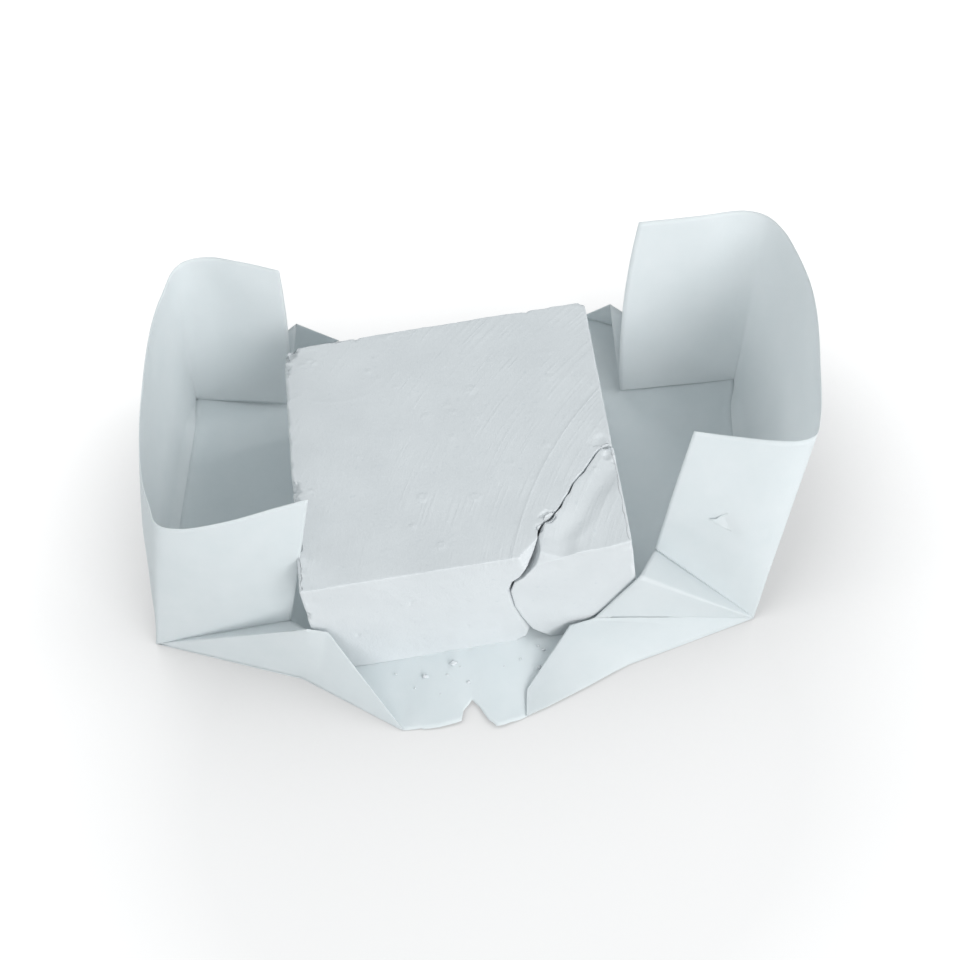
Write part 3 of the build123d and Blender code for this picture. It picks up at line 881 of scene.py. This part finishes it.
def floor_material():
    """A pale matt floor that shows white to the camera, with a soft contact shade close round the object."""
    r = Recipe("studio_floor")
    ray = r.add("ShaderNodeLightPath").outputs
    seen = r.math("MAXIMUM", ray["Is Camera Ray"],
                  r.math("MAXIMUM", ray["Is Glossy Ray"], ray["Is Transmission Ray"]))
    paint = r.math("SUBTRACT", FLOOR_PAINT, r.math("MULTIPLY", seen, FLOOR_PAINT - FLOOR_PAINT_SEEN))
    grey = r.add("ShaderNodeCombineXYZ", links={"X": paint, "Y": paint, "Z": paint})
    matt = r.add("ShaderNodeBsdfDiffuse", links={"Color": grey.outputs["Vector"]})
    place = r.add("ShaderNodeTexCoord").outputs["Object"]
    front = r.add("ShaderNodeMapping", {"Location": (0.0, 0.06, 0.0)}, {"Vector": place}).outputs["Vector"]
    away = r.add("ShaderNodeVectorMath", links={0: front}, operation="LENGTH").outputs["Value"]
    spread = r.add("ShaderNodeMapRange",
                   {"From Min": 0.06, "From Max": 0.16, "To Min": FLOOR_WHITE, "To Max": 1.0},
                   {"Value": away})
    contact = r.add("ShaderNodeAmbientOcclusion", {"Distance": CONTACT_REACH}, samples=24).outputs["AO"]
    shade = r.add("ShaderNodeMapRange",
                  {"From Min": 0.50, "From Max": 0.97, "To Min": CONTACT_SHADE, "To Max": 1.0},
                  {"Value": contact})
    white = r.math("MULTIPLY", spread.outputs["Result"], shade.outputs["Result"])
    strength = r.math("MULTIPLY", seen, white)
    glow = r.add("ShaderNodeEmission", {"Color": (1.0, 1.0, 1.0, 1.0)}, {"Strength": strength})
    both = r.add("ShaderNodeAddShader", links={0: matt.outputs["BSDF"], 1: glow.outputs["Emission"]})
    r.add("ShaderNodeOutputMaterial", links={"Surface": both.outputs["Shader"]})
    return r.material


# ------------------------------------------------------------------ studio

# How pale the floor is to the light and to the camera, how much white the camera sees on it besides,
# and how far and how deep the contact shade round the object goes.
FLOOR_PAINT = 0.62
FLOOR_PAINT_SEEN = 0.30
FLOOR_WHITE = 0.66
CONTACT_REACH = 0.14
CONTACT_SHADE = 0.55

# The surround's light on the object, a cold white.
WORLD_LIGHT = 0.33
WORLD_COLOUR = (0.88, 0.97, 1.0, 1.0)

# The lamps: name, place, the place they face, in metres, and watts. All are squares of one size.
LAMP_SIZE = 0.5
LAMPS = (
    ("front_right_light", (0.45, -0.80, 0.50), (0.0, 0.0, 0.02), 4.2),
    ("front_high_light", (-0.25, -0.60, 0.80), (0.0, 0.0, 0.02), 0.7),
    ("front_low_light", (0.10, -1.00, 0.25), (0.0, 0.0, 0.02), 2.7),
    ("right_light", (0.80, -0.05, 0.72), (0.0, 0.0, 0.0), 3.1),
    ("left_light", (-0.95, 0.05, 0.45), (0.0, 0.0, 0.0), 2.5),
    ("back_light", (-0.15, 0.95, 0.42), (0.0, 0.0, 0.02), 2.0),
)

# The camera stands this far from the block's middle on the paper, in millimetres. Its turn, rise and
# roll are in degrees and its lens in millimetres.
CAMERA_PLACE = (14.93, -283.16, 355.28)
CAMERA_TURN = 2.02
CAMERA_RISE = 50.33
CAMERA_ROLL = -10.67
CAMERA_LENS = 78.75


def studio_floor():
    """A wide flat floor under the object: a grid of a few squares at height zero."""
    side = np.linspace(-4.0, 4.0, 9)
    x, y = np.meshgrid(side, side)
    mesh = bpy.data.meshes.new("studio_floor")
    place = np.stack([x, y, np.zeros_like(x)], axis=-1).reshape(-1, 3)
    mesh.from_pydata(place.tolist(), [], grid_faces(9, 9).tolist())
    floor = bpy.data.objects.new("studio_floor", mesh)
    bpy.context.scene.collection.objects.link(floor)
    mesh.materials.append(floor_material())


def sky():
    """An even pale surround, white where the camera sees it."""
    world = bpy.data.worlds.new("surround")
    bpy.context.scene.world = world
    world.use_nodes = True
    nodes, links = world.node_tree.nodes, world.node_tree.links
    nodes.clear()
    ray = nodes.new("ShaderNodeLightPath")
    strength = nodes.new("ShaderNodeMapRange")
    strength.inputs["To Min"].default_value = WORLD_LIGHT
    strength.inputs["To Max"].default_value = 1.0
    glow = nodes.new("ShaderNodeBackground")
    glow.inputs["Color"].default_value = WORLD_COLOUR
    end = nodes.new("ShaderNodeOutputWorld")
    links.new(ray.outputs["Is Camera Ray"], strength.inputs["Value"])
    links.new(strength.outputs["Result"], glow.inputs["Strength"])
    links.new(glow.outputs["Background"], end.inputs["Surface"])


def lamp(name, place, target, watts):
    """A square soft light at place, facing target."""
    light = bpy.data.lights.new(name, "AREA")
    light.shape = "SQUARE"
    light.size = LAMP_SIZE
    light.energy = watts
    holder = bpy.data.objects.new(name, light)
    bpy.context.scene.collection.objects.link(holder)
    place, target = np.asarray(place, float), np.asarray(target, float)
    back = (place - target) / np.linalg.norm(place - target)
    right = np.cross([0.0, 0.0, 1.0], back)
    right /= np.linalg.norm(right)
    up = np.cross(back, right)
    holder.matrix_world = place_matrix(right, up, back, place)


def place_matrix(right, up, back, place):
    """The matrix whose columns are the three axes and the place."""
    rows = np.vstack([np.stack([right, up, back, place], axis=1), [0, 0, 0, 1]])
    return Matrix(rows.tolist())


def camera():
    """The camera looks along its turn and rise, then rolls about that line."""
    turn, rise, roll = (math.radians(a) for a in (CAMERA_TURN, CAMERA_RISE, CAMERA_ROLL))
    back = np.array([math.sin(turn) * math.cos(rise), -math.cos(turn) * math.cos(rise), math.sin(rise)])
    level = np.cross(-back, [0.0, 0.0, 1.0])
    level /= np.linalg.norm(level)
    above = np.cross(level, -back)
    right = math.cos(roll) * level + math.sin(roll) * above
    up = -math.sin(roll) * level + math.cos(roll) * above
    eye = bpy.data.cameras.new("camera")
    eye.lens = CAMERA_LENS
    eye.sensor_width = 36.0
    eye.clip_start = 0.01
    holder = bpy.data.objects.new("camera", eye)
    bpy.context.scene.collection.objects.link(holder)
    place = np.array(CAMERA_PLACE) * MM + [0.0, 0.0, FLOOR_TOP]
    holder.matrix_world = place_matrix(right, up, back, place)
    bpy.context.scene.camera = holder


# ------------------------------------------------------------------ the object


def build_paper():
    """The wrapper: the floor with its two flaps, the two ears, and the gussets that tie them."""
    outside = paper_material("wrapping_paper", 0.22, (0.800, 0.846, 0.860), (0.835, 0.872, 0.886))
    # The inner faces of the ears get a paler copy of the paper: painted light in the pockets beside the
    # block.
    inside = paper_material("wrapping_paper_inside_painted_light", 0.22, (0.885, 0.922, 0.932), (0.910, 0.940, 0.950))
    # The floor sheet gets a darker copy of the paper: painted shade on the floor and its flaps.
    laid_paper_painted_shade = paper_material("wrapping_paper_laid_flat_painted_shade", 0.08, (0.775, 0.830, 0.847), (0.808, 0.854, 0.870))
    floor = floor_sheet(laid_paper_painted_shade)
    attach(floor, "wrapper")
    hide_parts("wrapper_floor", "front_flap", "back_flap")
    ears = (
        ("left_ear_sheet", LEFT_EAR, "left_ear", ("left_wall", "left_front_wall", "left_back_wall"),
         41, (inside, outside), LEFT_FOLD, None),
        ("right_ear_sheet", RIGHT_EAR, "right_ear", ("right_wall", "right_front_wall", "right_back_wall"),
         47, (outside, inside), RIGHT_FOLD, torn_flap),
    )
    for name, ribs, body, nodes, seed, sides, fold, scar in ears:
        ear = paper_sheet(name, ribs, 56, True, 0.16, seed, sides, fold, scar)
        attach(ear, body)
        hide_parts(*nodes)
    gussets = (
        ("left_front_gusset", LEFT_FRONT_GUSSET, 3, "left_ear", LEFT_FRONT_CORNER, 51, 0.00063),
        ("left_back_gusset", LEFT_BACK_GUSSET, 2, "left_ear", LEFT_BACK_CORNER, 52, 0.00057),
        ("right_front_gusset", RIGHT_FRONT_GUSSET, 4, "right_ear", RIGHT_FRONT_CORNER, 53, 0.00072),
        ("right_back_gusset", RIGHT_BACK_GUSSET, 2, "right_ear", RIGHT_BACK_CORNER, 54, 0.00062),
    )
    for node, ribs, still, ear, end, seed, area in gussets:
        gusset = paper_sheet(node + "_sheet", ribs, 30, False, 0.08, seed, (outside, outside))
        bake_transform(gusset)
        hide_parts(node)


def build_chalk():
    """The block, its broken corner and the crumbs."""
    dry = chalk_material()
    block = chalk_solid("chalk_block_solid", block_plan, (180, 150, 180, 150), (-3.0, 3.0), [BLOCK_FACET],
                        block_slump, (0.0, 0.0, 0.0))
    chunk = chalk_solid("corner_chunk_solid", chunk_plan, (72, 68, 72, 68), (26.0, -24.0),
                        [CHUNK_FACET, CHUNK_FOOT], chunk_slump, (0.22, -0.16, 0.0))
    crumbs = chalk_crumbs()
    rows = ((block, "chalk_block", "block"), (chunk, "corner_chunk", "chunk"),
            (crumbs, "chalk_crumbs", "wrapper"))
    for piece, node, body in rows:
        piece.data.materials.append(dry)
        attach(piece, body)
        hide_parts(node)


def build_studio():
    """The floor, the surround, the lamps and the camera."""
    bpy.context.scene.view_settings.view_transform = "Standard"
    sky()
    studio_floor()
    for name, place, target, watts in LAMPS:
        lamp(name, place, target, watts)
    camera()


build_paper()
build_chalk()
build_studio()
